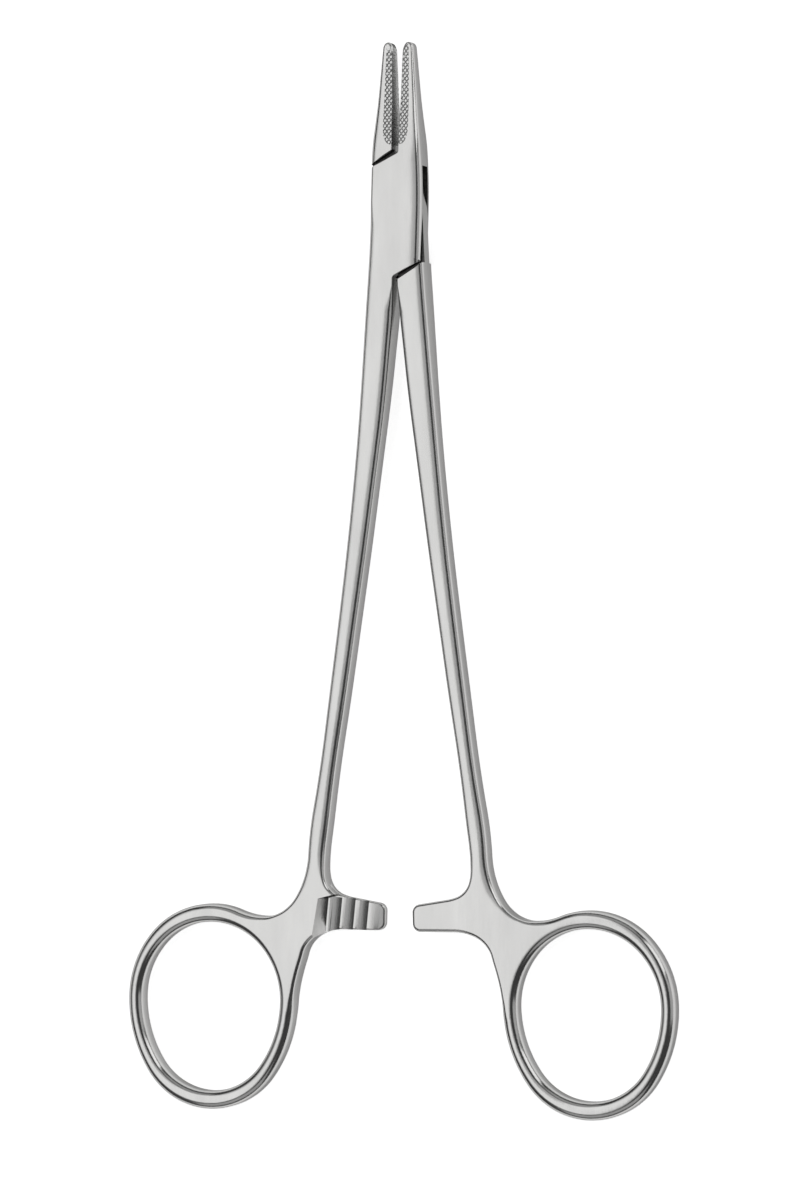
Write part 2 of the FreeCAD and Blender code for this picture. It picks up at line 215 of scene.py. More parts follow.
half_box = box_thickness / 2
half_shank = shank_thickness / 2
step_tan = math.tan(step_angle)
step_distance = step_corner * math.cos(step_angle) + box_half_width * math.sin(step_angle)
ring_side = ring_distance - ring_hole_across / 2 - ring_side_wall
ring_top = ring_depth - ring_hole_upper - ring_end_wall
arm_top = ring_depth - arm_rise
arm_bottom = arm_top + arm_width

# Camera, floor and room
camera_turn = math.radians(18)
camera_distance = 0.9
camera_view_height = 1200 * 0.000168
camera_target = (0, -0.06465, 0.0029)
sensor_height = 24
floor_reach = 3.0
floor_gap = 0.00002
floor_shade = 0.80
floor_glow = 0.75
world_strength = 0.07

# Lights over the instrument: name, angle to the right of upright, place along it, size along
# and across it, and radiance. Then those beyond its ends, with their whole place and their
# size across it and upwards.
light_distance = 1.0
light_target = (0, -0.06, 0)
side_lights = [
    ("key_left", -30, 0.04, (1.20, 0.84), 0.72),
    ("key_right", -16, 0.04, (1.20, 0.84), 0.60),
    ("rim_card", 58, 0.50, (0.52, 0.90), 1.5),
    ("right_fill", 76, -0.06, (0.48, 1.2), 0.55),
    ("left_fill", -77, -0.06, (0.45, 1.2), 0.18),
]
end_lights = [
    ("foot_card", (0.0, -0.88, 0.58), (1.0, 0.62), 0.45),
    ("head_card", (0.0, 0.76, 0.58), (1.0, 0.62), 0.40),
]

# Metals: stops of colour and of roughness over a noise, scales of the noise, tint at the rims
steel_tones = [(0.25, (0.465, 0.463, 0.458)), (0.75, (0.525, 0.523, 0.517))]
steel_polish = [(0.2, 0.13), (0.8, 0.21)]
steel_tint = (0.35, 0.35, 0.35, 1)
brushing_scale = (9000, 260, 9000)
brushing_strength = 0.10
brushing_depth = 0.00002
cloud_scale = (220, 60, 220)
# Painted shade: a near-black colour, with its roughness and noise scale, for the faces of the
# lock's slot and tenon and for the steps' walls. It stands in for the shade in those gaps.
painted_shade_tones = [(0.3, (0.060, 0.060, 0.060)), (0.7, (0.120, 0.118, 0.115))]
painted_shade_roughness = 0.45
painted_shade_scale = (2500, 2500, 2500)
insert_tones = [(0.3, (0.42, 0.42, 0.415)), (0.7, (0.60, 0.60, 0.595))]
insert_polish = [(0.3, 0.18), (0.7, 0.26)]
insert_tint = (0.08, 0.08, 0.08, 1)
insert_scale = (5000, 5000, 5000)

UP = 1j
DOWN = -1j
OUT = -1


# Curves in plan
def left(distance, depth):
    """A place of the shank side, left of the middle plane and below the pin."""
    return complex(-distance, -depth)


def slanted(angle):
    """Direction that points down and leans outwards, on the shank side."""
    return complex(-math.sin(angle), -math.cos(angle))


def dot(a, b):
    return (a.conjugate() * b).real


def unit(a):
    return a / abs(a)


def arc(start, way, end):
    """Points of the arc that leaves its start in the given direction, without its end."""
    chord = end - start
    turn = 2 * cmath.phase(chord / way)
    straight = abs(turn) < 1e-6
    length = abs(chord) if straight else abs(chord) * turn / 2 / math.sin(turn / 2)
    count = max(1, math.ceil(length / step_along), math.ceil(abs(turn) / step_turn))
    if straight:
        return [start + chord * k / count for k in range(count)]
    centre = start + 1j * way * abs(chord) / (2 * math.sin(turn / 2))
    return [centre + (start - centre) * cmath.exp(1j * turn * k / count) for k in range(count)]


def line(start, end):
    return arc(start, unit(end - start), end)


def arc_pair(start, start_way, end, end_way):
    """Two arcs that join two places in given directions and meet without a corner."""
    chord = end - start
    along = dot(chord, start_way + end_way)
    bend = 2 * (1 - dot(start_way, end_way))
    square = abs(chord) ** 2
    if bend < 1e-9:
        run = square / (2 * along)
    else:
        run = (math.sqrt(along ** 2 + bend * square) - along) / bend
    first = start + start_way * run
    last = end - end_way * run
    middle = (first + last) / 2
    return arc(start, start_way, middle) + arc(middle, unit(last - first), end)


def smooth(places, start_way, end_way):
    """Chain of arcs through the places, in the direction of the circle through each three."""
    ways = [start_way]
    for before, here, after in zip(places, places[1:], places[2:]):
        first = here - before
        second = after - here
        ways.append(unit(first / abs(first) ** 2 + second / abs(second) ** 2))
    ways.append(end_way)
    points = []
    for number in range(len(places) - 1):
        points += arc_pair(places[number], ways[number], places[number + 1], ways[number + 1])
    return points


def rounded_path(corners):
    """Straight runs between corners, each given with its radius, without the last corner."""
    points = []
    here = corners[0][0]
    for (before, _), (corner, radius), (after, _) in zip(corners, corners[1:], corners[2:]):
        to_before = unit(before - corner)
        to_after = unit(after - corner)
        run = radius / math.tan(abs(cmath.phase(to_after / to_before)) / 2)
        if radius:
            start = corner + to_before * run
            points += line(here, start) + arc(start, -to_before, corner + to_after * run)
            here = corner + to_after * run
        else:
            points += line(here, corner)
            here = corner
    return points + line(here, corners[-1][0])


def grip_x(height):
    share = (height - insert_heel) / (jaw_length - insert_heel)
    return grip_gap_heel + (grip_gap_tip - grip_gap_heel) * share


def grip(height):
    return complex(grip_x(height), height)


def step_height(x):
    return step_corner + (box_half_width + x) * step_tan


def oval(side_wall, end_wall, quarters):
    """Quarters of the ring's egg shape in turn, each a side and an end, widened by its walls."""
    centre = left(ring_distance, ring_depth)
    across = ring_hole_across / 2 + side_wall
    points = []
    for side, end in quarters:
        along = (ring_hole_upper if end > 0 else ring_hole_lower) + end_wall
        tip = centre + 1j * end * along
        quarter = arc_pair(centre + side * across, UP * end, tip, OUT * side) + [tip]
        points += quarter[:-1] if side * end > 0 else quarter[:0:-1]
    return points


def crotch_path():
    """The shank's flat face up to the crotch's rounding, and from there along the lower step."""
    split = left(face_gap, shank_split)
    crotch = complex(-face_gap, -step_height(face_gap))
    step_end = complex(box_half_width, -step_corner)
    path = rounded_path([(split, 0), (crotch, crotch_round), (step_end, 0)])
    last_flat = max(k for k, p in enumerate(path) if abs(p.real + face_gap) < same_line)
    return path[:last_flat + 1], path[last_flat:] + [step_end]


def shank_curve():
    """From the upper step down the outer side, round ring and arm, and up to the crotch.

    Returns stretches, each with the rounding of its rim.
    """
    step_end = complex(-box_half_width, step_corner)
    box_side = complex(-box_half_width, 0)
    outer = []
    inner = []
    for share, middle, width in shank_stations:
        outer.append(left(middle + width / 2, share * ring_top))
        inner.insert(0, left(middle - width / 2, share * ring_top))
    web_outer = left(ring_side + web_outer_inset, ring_top - web_outer_rise)
    saddle = left(ring_side + saddle_inset, ring_top + saddle_drop)
    web_way = slanted(web_outer_lean)
    low_corner = left(-arm_overlap, arm_bottom)
    high_corner = left(-arm_overlap, arm_top)
    under = left(arm_lower_run, arm_bottom + arm_lower_drop)
    over = left(arm_upper_run, arm_top - arm_upper_rise)
    neck = left(arm_neck, arm_top - arm_neck_rise)
    root = left(arm_root, arm_top - arm_root_rise)
    split = left(face_gap, shank_split)
    web_side = [
        left(ring_side, ring_depth),
        left(ring_side - web_side_lean, ring_depth - web_side_rise),
        left(ring_side - web_corner_lean, arm_bottom + web_corner_drop),
        under,
    ]
    arm_tip = [
        (under, 0),
        (low_corner, arm_corner_radius),
        (high_corner, arm_corner_radius),
        (over, 0),
    ]
    return [
        (line(step_end, box_side), box_rim),
        (smooth([box_side] + outer + [web_outer], DOWN, web_way), shank_rim),
        (smooth([web_outer, saddle], web_way, OUT), web_rim),
        (smooth([saddle, left(ring_distance, ring_top)], OUT, OUT), ring_rim),
        (oval(ring_side_wall, ring_end_wall, [(-1, 1), (-1, -1), (1, -1)]), ring_rim),
        (smooth(web_side, UP, unit(low_corner - under)), web_rim),
        (rounded_path(arm_tip), web_rim),
        (smooth([over, neck, root], unit(over - high_corner), UP), web_rim),
        (smooth([root] + inner + [split], UP, UP), shank_rim),
        (crotch_path()[0], edge_rim),
    ]


def jaw_curve():
    """From the lower step up the outer side of the jaw and round its tip to the grip face."""
    tip_inner = grip(jaw_length - jaw_tip_height)
    tip_outer = tip_inner + jaw_tip_width
    tip_top = complex((tip_inner.real + tip_outer.real) / 2, jaw_length)
    outer = [
        tip_outer,
        complex(jaw_mid_width, jaw_mid_height),
        complex(jaw_heel_width, jaw_heel_height),
        complex(box_half_width, 0),
    ]
    way_out = unit(outer[1] - outer[0])
    step_end = complex(box_half_width, -step_corner)
    points = smooth([tip_inner, tip_top, tip_outer], -slanted(jaw_tip_lean), way_out)
    points += smooth(outer, way_out, DOWN)
    points += line(outer[-1], step_end) + [step_end]
    points.reverse()
    return points


def grip_curve():
    """From the tip down the grip face, round the corner and along the upper step."""
    corner = grip(step_height(0))
    step_end = complex(-box_half_width, step_corner)
    tip_inner = grip(jaw_length - jaw_tip_height)
    return rounded_path([(tip_inner, 0), (corner, step_corner_round), (step_end, 0)]) + [step_end]


def pocket_curve():
    """Outer side and rounded heel of the insert's room, from beyond the tip to the grip face."""
    top = complex(insert_tip_width, jaw_length + past_end)
    middle = complex(insert_mid_width, jaw_mid_height)
    heel_side = complex(insert_heel_width, insert_heel + insert_heel_round)
    heel = grip(insert_heel)
    points = smooth([top, middle, heel_side], unit(middle - top), DOWN)
    return points + arc_pair(heel_side, DOWN, heel, OUT) + [heel]


# Faces over the plan
def tapered_profile():
    """Half thickness along the instrument: heights over the pin and half thicknesses there."""
    slope = (jaw_mid_thickness - jaw_tip_thickness) / 2 / (jaw_length - jaw_mid_height)
    corners = [
        (complex(jaw_length + past_end, jaw_tip_thickness / 2 - slope * past_end), 0),
        (complex(jaw_mid_height, jaw_mid_thickness / 2), jaw_blend_radius),
        (complex(jaw_taper_start, half_box), face_blend_radius),
        (complex(-shank_taper_start, half_box), shank_blend_radius),
        (complex(-shank_taper_end, half_shank), shank_blend_radius),
        (complex(-ring_depth * 2, half_shank), 0),
    ]
    points = rounded_path(corners)
    points.reverse()
    return np.array(points)


def blended(stretches):
    """One line through the stretches, and its rim's sizes, which change little by little."""
    points = np.array([p for stretch, _ in stretches for p in stretch])
    sizes = np.array([rim for stretch, rim in stretches for _ in stretch])
    run = np.concatenate([[0], np.cumsum(np.abs(np.diff(points)))])
    places = np.arange(-rim_blend / 2, rim_blend / 2, step_along)
    smoothed = np.zeros_like(sizes)
    for place in places:
        for side in range(4):
            smoothed[:, side] += np.interp(run + place, run, sizes[:, side])
    return points, smoothed / len(places)


def same_rim(points, rim):
    """A line whose rim is the same all along."""
    return np.array(points), np.tile(rim, (len(points), 1))


def jaw_rims(points):
    """The jaw's line with its rim, which shrinks from the lock to the tip."""
    points = np.array(points)
    heights = [-step_corner, jaw_heel_height, jaw_mid_height, jaw_length]
    stations = np.array([heel_rim, heel_rim, jaw_rim, tip_rim])
    return points, np.array([np.interp(points.imag, heights, column) for column in stations.T]).T


def extended(rim, at_start, at_end):
    """A rim's line with straight ends added, so that its rounding runs out square."""
    points, sizes = rim
    if at_start:
        points = np.insert(points, 0, points[0] + unit(points[0] - points[1]) * rim_overrun)
        sizes = np.vstack([sizes[:1], sizes])
    if at_end:
        points = np.append(points, points[-1] + unit(points[-1] - points[-2]) * rim_overrun)
        sizes = np.vstack([sizes, sizes[-1:]])
    return points, sizes


def bands(spots, starts, ends, margin):
    """Numbers of the spots in each band of heights, with those of the segments near them."""
    low = np.minimum(starts.imag, ends.imag) - margin
    high = np.maximum(starts.imag, ends.imag) + margin
    numbers = np.floor(spots.imag / band_height).astype(int)
    for number in np.unique(numbers):
        here = np.nonzero(numbers == number)[0]
        near = np.nonzero((low < (number + 1) * band_height) & (high > number * band_height))[0]
        if len(near):
            yield here, near


def distances(spots, starts, ends):
    """Distance from each spot to each segment, and where along the segment it is nearest."""
    ways = ends - starts
    offsets = spots[:, None] - starts[None, :]
    shares = (offsets * ways.conj()[None, :]).real / np.maximum(np.abs(ways) ** 2, 1e-18)
    shares = np.clip(shares, 0, 1)
    return np.abs(offsets - ways * shares), shares


def rim_drop(rims, spots):
    """How far the rounding of the rims lowers a face at each spot."""
    drop = np.zeros(len(spots))
    for points, sizes in rims:
        starts = points[:-1]
        ends = points[1:]
        for here, near in bands(spots, starts, ends, widest_rim):
            gaps, shares = distances(spots[here], starts[near], ends[near])
            first = sizes[:-1][near]
            second = sizes[1:][near]
            reach, fall, crown, run = [first[:, k] * (1 - shares) + second[:, k] * shares
                                       for k in range(4)]
            rest = np.clip(1 - gaps / reach, 0, 1)
            each = fall * (1 - np.sqrt(1 - rest ** 2))
            each += crown * np.clip(1 - gaps / run, 0, 1) ** 2
            drop[here] = np.maximum(drop[here], each.max(axis=1))
    return drop


def clearance(loops, spots, reach):
    """Distance from each spot to the outlines, up to a reach."""
    gap = np.full(len(spots), reach)
    for loop in loops:
        starts = loop
        ends = np.roll(loop, -1)
        for here, near in bands(spots, starts, ends, reach):
            gaps, _ = distances(spots[here], starts[near], ends[near])
            gap[here] = np.minimum(gap[here], gaps.min(axis=1))
    return gap


def inside(loops, spots):
    """Whether each spot lies inside the outer loop and outside the others."""
    crossings = np.zeros(len(spots), dtype=int)
    for loop in loops:
        starts = loop
        ends = np.roll(loop, -1)
        for here, near in bands(spots, starts, ends, 0):
            a = starts[near][None, :]
            b = ends[near][None, :]
            p = spots[here][:, None]
            spans = (a.imag > p.imag) != (b.imag > p.imag)
            rise = np.where(spans, b.imag - a.imag, 1)
            cross = a.real + (p.imag - a.imag) * (b.real - a.real) / rise
            crossings[here] += (spans & (p.real < cross)).sum(axis=1)
    return crossings % 2 == 1


def rows_inside(loops, rim, closed=False):
    """Spots in rows along a rim, on its inner side, where no other rim is nearer."""
    points, sizes = rim
    ways = (np.roll(points, -1) - np.roll(points, 1)) if closed else np.gradient(points)
    inward = 1j * ways / np.abs(ways)
    found = []
    for share in rim_rows:
        depth = sizes[:, 0] * share
        row = points + inward * depth
        gap = clearance(loops, row, row_search)
        found.append(row[gap > depth * row_tolerance])
    return np.concatenate(found)


def plan(loops, spots):
    """Triangles that fill the loops and use the spots: places and corner numbers."""
    points = []
    edges = []
    for loop in loops:
        first = len(points)
        count = len(loop)
        points += list(loop)
        edges += [(first + k, first + (k + 1) % count) for k in range(count)]
    points += list(spots)
    flat = [Vector((p.real, p.imag)) for p in points]
    places, _, faces, _, _, _ = delaunay_2d_cdt(flat, edges, [], 0, 1e-8, False)
    places = np.array([complex(p[0], p[1]) for p in places])
    faces = np.array(faces)
    middles = places[faces].mean(axis=1)
    return places, faces[inside(loops, middles)]


def closed_mesh(name, places, faces, top, bottom, wall_rows=1, push=None):
    """A closed mesh between two faces over one plan, with upright walls at its borders."""
    count = len(places)
    front = np.column_stack([places.real, places.imag, top])
    back = np.column_stack([places.real, places.imag, bottom])
    verts = [tuple(v) for v in front] + [tuple(v) for v in back]
    polygons = [tuple(int(i) for i in face) for face in faces]
    polygons += [tuple(int(i) + count for i in face[::-1]) for face in faces]
    sides = {}
    for a, b, c in faces:
        for edge in ((a, b), (b, c), (c, a)):
            sides[edge] = True
    border = [(int(a), int(b)) for a, b in sides if (b, a) not in sides]
    columns = {}
    for a, b in border:
        for number in (a, b):
            if number in columns:
                continue
            column = [number]
            for row in range(1, wall_rows):
                share = row / wall_rows
                height = top[number] + (bottom[number] - top[number]) * share
                spot = places[number]
                shift = push(spot, height) if push else 0
                verts.append((spot.real + shift, spot.imag, height))
                column.append(len(verts) - 1)
            columns[number] = column + [number + count]
    for a, b in border:
        for row in range(wall_rows):
            upper, lower = columns[a], columns[b]
            polygons.append((upper[row], upper[row + 1], lower[row + 1], lower[row]))
    mesh = bpy.data.meshes.new(name)
    mesh.from_pydata(verts, [], polygons)
    used = {i for face in polygons for i in face}
    if len(used) < len(verts):
        drop_loose(mesh)
    return mesh


def drop_loose(mesh):
    """Delete the corners that no face uses."""
    work = bmesh.new()
    work.from_mesh(mesh)
    loose = [vert for vert in work.verts if not vert.link_faces]
    bmesh.ops.delete(work, geom=loose, context="VERTS")
    work.to_mesh(mesh)
    work.free()


def outward(mesh):
    """Turn all faces of a closed mesh outwards."""
    work = bmesh.new()
    work.from_mesh(mesh)
    bmesh.ops.recalc_face_normals(work, faces=work.faces)
    work.to_mesh(mesh)
    work.free()
    return mesh


# The blank of both halves
def forging_rims():
    """All lines whose rims lower the blank's faces, each with its sizes."""
    hole = hole_curve()
    return {
        "shank": extended(blended(shank_curve()), True, False),
        "jaw": extended(jaw_rims(jaw_curve()), True, True),
        "hole": same_rim(hole + hole[:1], ring_rim),
        "grip": extended(same_rim(grip_curve(), edge_rim), True, True),
        "step": extended(same_rim(crotch_path()[1], edge_rim), False, True),
        "pocket": same_rim(pocket_curve(), pocket_rim),
    }


def hole_curve():
    return oval(0, 0, [(1, 1), (-1, 1), (-1, -1), (1, -1)])


def forging_heights(rims, spots):
    """Front face of the blank over each spot; the back face mirrors it."""
    profile = tapered_profile()
    half = np.interp(spots.imag, profile.real, profile.imag)
    return half - rim_drop(rims.values(), spots)


def lattice(loops, reach, pitch):
    """Staggered inner spots, further from the outlines than the reach."""
    low = complex(min(p.real for p in loops[0]), min(p.imag for p in loops[0]))
    high = complex(max(p.real for p in loops[0]), max(p.imag for p in loops[0]))
    columns = np.arange(low.real, high.real, pitch)
    rows = np.arange(low.imag, high.imag, pitch * math.sqrt(0.75))
    grid = columns[None, :] + 1j * rows[:, None]
    grid[1::2] += pitch / 2
    spots = grid.ravel()
    spots = spots[inside(loops, spots)]
    return spots[clearance(loops, spots, reach * 2) > reach]


def forging_mesh():
    """The blank: both faces with rounded rims, and upright walls."""
    shank = blended(shank_curve())
    _, step = crotch_path()
    jaw = jaw_curve()
    grip_line = grip_curve()
    outline = np.concatenate([shank[0][:-1], step[:-1], jaw[:-1], grip_line[:-1]])
    hole = hole_curve()
    turns = range(round(math.tau / step_turn))
    bore = np.array([pin_radius * cmath.exp(1j * step_turn * k) for k in turns])
    loops = [outline, np.array(hole), bore]
    rims = forging_rims()
    spots = [
        rows_inside(loops, shank),
        rows_inside(loops, jaw_rims(jaw)),
        rows_inside(loops, same_rim(hole[::-1], ring_rim), True),
        rows_inside(loops, same_rim(grip_line, edge_rim)),
        rows_inside(loops, same_rim(step, edge_rim)),
        lattice(loops, shank_rim[0] * lattice_margin, inner_step),
    ]
    places, faces = plan(loops, np.concatenate(spots))
    heights = forging_heights(rims, places)
    return closed_mesh("forging", places, faces, heights, -heights)


def show(mesh, name):
    """A new object of the mesh, in the scene."""
    piece = bpy.data.objects.new(name, mesh)
    bpy.context.scene.collection.objects.link(piece)
    return piece


# Cutters, in the closed pose about the pin
def prism_mesh(name, outlines, heights):
    """A closed mesh through plan outlines with as many corners each, one at each height."""
    count = len(outlines[0])
    verts = [(p.real, p.imag, z) for outline, z in zip(outlines, heights) for p in outline]
    last = len(verts) - count
    polygons = [tuple(range(count))[::-1], tuple(range(last, last + count))]
    for layer in range(0, last, count):
        for k in range(count):
            after = (k + 1) % count
            polygons.append((layer + k, layer + after, layer + count + after, layer + count + k))
    mesh = bpy.data.meshes.new(name)
    mesh.from_pydata(verts, [], polygons)
    return mesh


def strip(slant, spans, heights):
    """Cutter between two slanted lines; spans are its half widths at the heights."""
    along = cmath.exp(1j * slant)
    outlines = []
    for span in spans:
        corners = [(-1, -1), (1, -1), (1, 1), (-1, 1)]
        outlines.append([along * complex(x * strip_reach, y * span) for x, y in corners])
    return prism_mesh("strip", outlines, heights)


def slot_cutter():
    """Room for the tenon in the box half."""
    half = tenon_thickness / 2 + tenon_side_clearance
    span = step_distance + tenon_end_clearance
    return [strip(-step_angle, [span, span], [-half, half])]


def tenon_cutters():
    """Room on both faces of the tenon, between shoulders whose corners are rounded."""
    span = step_distance + step_gap
    half = tenon_thickness / 2
    front = strip(-step_angle, [span, span], [half, box_thickness])
    back = strip(-step_angle, [span, span], [-box_thickness, -half])
    sine = math.sin(step_angle)
    cosine = math.cos(step_angle)
    jaw_corner = grip((span - grip_gap_heel * sine) / cosine)
    shank_corner = complex(-face_gap, (face_gap * sine - span) / cosine)
    along = cmath.exp(-1j * step_angle)
    cutters = [front, back]
    for corner, to_side, to_shoulder in ((jaw_corner, UP, along), (shank_corner, DOWN, -along)):
        outline = corner_sliver(corner, to_side, to_shoulder, shoulder_round)
        cutters.append(prism_mesh("corner", [outline, outline], [half, box_thickness]))
        cutters.append(prism_mesh("corner", [outline, outline], [-box_thickness, -half]))
    return cutters


def tenon_edge_cutters():
    """Bevels on the shoulders' rims, and the wedge that is ground off the tenon's side."""
    bevel = edge_rim[0]
    span = step_distance + step_gap
    spans = [span, span + bevel * 2]
    heights = [half_box - bevel, half_box + bevel]
    front = strip(-step_angle, spans, heights)
    back = strip(-step_angle, spans[::-1], [-z for z in heights[::-1]])
    inner = tenon_relief - box_half_width
    beyond = -box_half_width - past_end
    relief = [
        complex(-box_half_width, tenon_relief_foot),
        complex(inner, step_height(inner)),
        complex(inner, step_height(inner) + past_end),
        complex(beyond, step_height(inner) + past_end),
        complex(beyond, tenon_relief_foot),
    ]
    return [front, back, prism_mesh("relief", [relief, relief], [-box_thickness, box_thickness])]


def corner_sliver(corner, to_side, to_shoulder, radius):
    """What a rounding takes off a convex corner, given the directions of its two sides."""
    half_angle = abs(cmath.phase(to_shoulder / to_side)) / 2
    run = radius / math.tan(half_angle)
    beyond = corner - unit(to_side + to_shoulder) * radius / 2
    start = corner + to_side * run
    end = corner + to_shoulder * run
    return [beyond] + arc(start, -to_side, end) + [end]


def ramp_cutter():
    """Room for the other arm down to the crests, with a slanted ramp at its end."""
    ramp_foot = ratchet_end + ramp_foot_gap
    far = -arm_overlap - past_side
    above = arm_top - past_side
    corner = arm_top - ramp_corner_rise
    below = arm_bottom + past_side
    middle = (arm_top + arm_bottom) / 2
    top = half_shank + ramp_run
    slope = ramp_run / (half_shank + crest_clearance)

    def outline(offset, slant):
        lean = math.tan(slant)
        return [
            left(offset + (corner - middle) * lean, corner),
            left(offset + (below - middle) * lean, below),
            left(far, below),
            left(far, above),
        ]

    foot = outline(ramp_foot, tooth_slant)
    head = outline(ramp_foot + slope * (top + crest_clearance), ramp_slant)
    return prism_mesh("ramp", [foot, head], [-crest_clearance, top])


def sagging(share):
    """Share of a groove's fall reached at a share of its length: flatter at first."""
    return tooth_lead * share + (1 - tooth_lead) * share ** 2


def tooth_profile():
    """A groove's section: a slope that falls towards the tip, and a steep wall."""
    chord = (tooth_pitch - tooth_land) / 2
    profile = []
    for k in range(tooth_rows + 1):
        share = k / tooth_rows
        fall = tooth_fall * sagging(share)
        profile.append((-chord + (2 * chord - tooth_wall) * share, -crest_clearance - fall))
    floor = -crest_clearance - tooth_fall
    for share, rise in (wall_low, wall_high):
        profile.append((chord - tooth_wall * share, floor + rise))
    return profile + [(chord, floor + tooth_wall), (chord, edge_margin), (-chord, edge_margin)]


def tip_profile():
    """Section of the room over the arm's sloping tip."""
    start = tooth_land / 2
    reach = first_land + arm_overlap
    profile = []
    for k in range(tooth_rows + 1):
        run = reach * k / tooth_rows
        profile.append((start + run, float(tip_height(start - first_land + run))))
    return profile + [(start + reach, edge_margin), (start, edge_margin)]


def ratchet_cutters():
    """The ramp's room, the grooves, the slope of the tip and the rounding of the rim."""
    below = arm_bottom + past_side
    middle = (arm_top + arm_bottom) / 2
    groove_top = arm_top - arm_upper_rise
    cutters = [ramp_cutter()]
    for number in range(tooth_count):
        offset = first_land + (number + 0.5) * tooth_pitch
        cutters.append(groove_mesh(offset, middle, tooth_profile(), groove_top, below))
    high = groove_top - tip_rise
    cutters.append(groove_mesh(first_land, middle, tip_profile(), high, below))
    return cutters + [rim_cutter()]


def tip_height(x):
    """Height of the sloping face between the last crest and the arm's tip."""
    start = tooth_land / 2 - first_land
    share = np.clip((x - start) / (first_land + arm_overlap), 0, 1)
    return -crest_clearance - tip_fall * sagging(share)


def rim_cutter():
    """Rounds the upper rim of the arm's lower half, along its sides and round its tip."""
    end = tooth_land - ratchet_end
    arm_side = [p for stretch, _ in shank_curve()[5:8] for p in stretch if p.real > end]
    points = [arm_side[0]]
    for spot in arm_side[1:]:
        if abs(spot - points[-1]) > rim_point_gap:
            points.append(spot)
    points = np.array(points)
    ways = np.gradient(points)
    inward = 1j * ways / np.abs(ways)
    radius = land_edge_radius
    section = [(-edge_margin, -radius)]
    for k in range(arc_rows + 1):
        angle = math.pi / 2 * k / arc_rows
        section.append((radius - radius * math.cos(angle), radius * math.sin(angle) - radius))
    section += [(radius, edge_margin), (-edge_margin, edge_margin)]
    verts = []
    for spot, way in zip(points, inward):
        for depth, height in section:
            place = spot + way * depth
            verts.append((place.real, place.imag, height + float(tip_height(spot.real))))
    return swept("rim", verts, len(section))


def swept(name, verts, count):
    """A closed mesh through sections of this many corners each."""
    rows = len(verts) // count
    polygons = [tuple(range(count)), tuple(range(len(verts) - count, len(verts)))[::-1]]
    for row in range(rows - 1):
        for k in range(count):
            after = (k + 1) % count
            start = row * count
            polygons.append((start + k, start + k + count, start + after + count, start + after))
    mesh = bpy.data.meshes.new(name)
    mesh.from_pydata(verts, [], polygons)
    return mesh


def groove_mesh(offset, middle, profile, high, low):
    """A groove's cutter: its profile drawn along the slanted line through the arm."""
    along = complex(math.sin(tooth_slant), math.cos(tooth_slant))
    verts = []
    for depth in (high, low):
        centre = left(offset, middle) + along * (middle - depth) / along.imag
        for side, height in profile:
            spot = centre + side * -1j * along
            verts.append((spot.real, spot.imag, height))
    return swept("groove", verts, len(profile))


def pocket_cutter():
    """The room of an insert, open at the tip and at the grip face."""
    curve = pocket_curve()
    outline = curve + [curve[-1] - past_side, curve[0] - past_side]
    return prism_mesh("room", [outline, outline], [-box_thickness, box_thickness])


def cut(piece, meshes, metal, operation="DIFFERENCE"):
    """Cut the meshes out of a piece, or keep only what is in them; new faces get the metal."""
    for mesh in meshes:
        mesh.materials.append(metal)
        tool = show(outward(mesh), "cutter")
        modifier = piece.modifiers.new("cut", "BOOLEAN")
        modifier.object = tool
        modifier.operation = operation
        modifier.solver = "MANIFOLD"
        modifier.material_mode = "TRANSFER"
        bpy.context.view_layer.update()
        depsgraph = bpy.context.evaluated_depsgraph_get()
        result = bpy.data.meshes.new_from_object(piece.evaluated_get(depsgraph))
        piece.modifiers.clear()
        piece.data = result
        bpy.data.objects.remove(tool)


def lay(piece, over):
    """Move a piece's mesh from the closed pose about the pin to where it lies."""
    turn = rest_opening / 2 * (1 if over else -1)
    if over:
        piece.data.transform(Matrix.Rotation(math.pi, 4, "Y"))
    piece.data.transform(Matrix.Translation((0, 0, half_box)) @ Matrix.Rotation(turn, 4, "Z"))
    piece.data.shade_smooth()
    piece.data.set_sharp_from_angle(angle=smooth_angle)


# Hatched inserts
def groove_depth(across):
    """Depth of the V grooves of one direction, at distances across them."""
    share = np.abs((across / hatch_pitch) % 1 - 0.5) * 2
    return hatch_depth * np.clip(1 - share / hatch_groove_share, 0, 1)


def hatch(u, v):
    """Depth of two families of grooves that cross, over places u, v of a face."""
    first = u * math.cos(hatch_angle) + v * math.sin(hatch_angle)
    second = u * math.cos(hatch_angle) - v * math.sin(hatch_angle)
    return np.maximum(groove_depth(first), groove_depth(second))


def insert_mesh(hatch_top):
    """The insert: part of the jaw's faces, hatched on the front, the back and the grip face."""
    low = insert_heel - insert_spare
    tip = jaw_length - jaw_tip_height
    jaw = [p for p in jaw_curve() if p.imag > low]
    grip_line = [grip(low + (tip - low) * k / insert_rows) for k in range(insert_rows, -1, -1)]
    outline = np.array([complex(jaw[0].real, low)] + jaw[:-1] + grip_line)
    loops = [outline]
    rims = {name: rim for name, rim in forging_rims().items() if name in ("jaw", "grip")}
    columns = np.arange(0, hatch_reach, hatch_pitch / hatch_points)
    rows = np.arange(low, jaw_length, hatch_pitch / hatch_points)
    grid = (columns[None, :] + 1j * rows[:, None]).ravel()
    grid = grid[inside(loops, grid)]
    grid = grid[clearance(loops, grid, hatch_margin * 10) > hatch_margin]
    spots = np.concatenate([rows_inside(loops, jaw_rims(jaw)), grid])
    places, faces = plan(loops, spots)
    heights = forging_heights(rims, places)
    mask = np.clip((hatch_top - places.imag) / hatch_fade, 0, 1)
    heights -= hatch(places.real, places.imag) * mask

    def push(spot, height):
        on_grip = abs(spot.real - grip_x(spot.imag)) < same_place
        if not on_grip or spot.imag >= tip:
            return 0
        return float(hatch(np.array([height]), np.array([spot.imag]))[0])

    return closed_mesh("insert", places, faces, heights, -heights, insert_wall_rows, push)


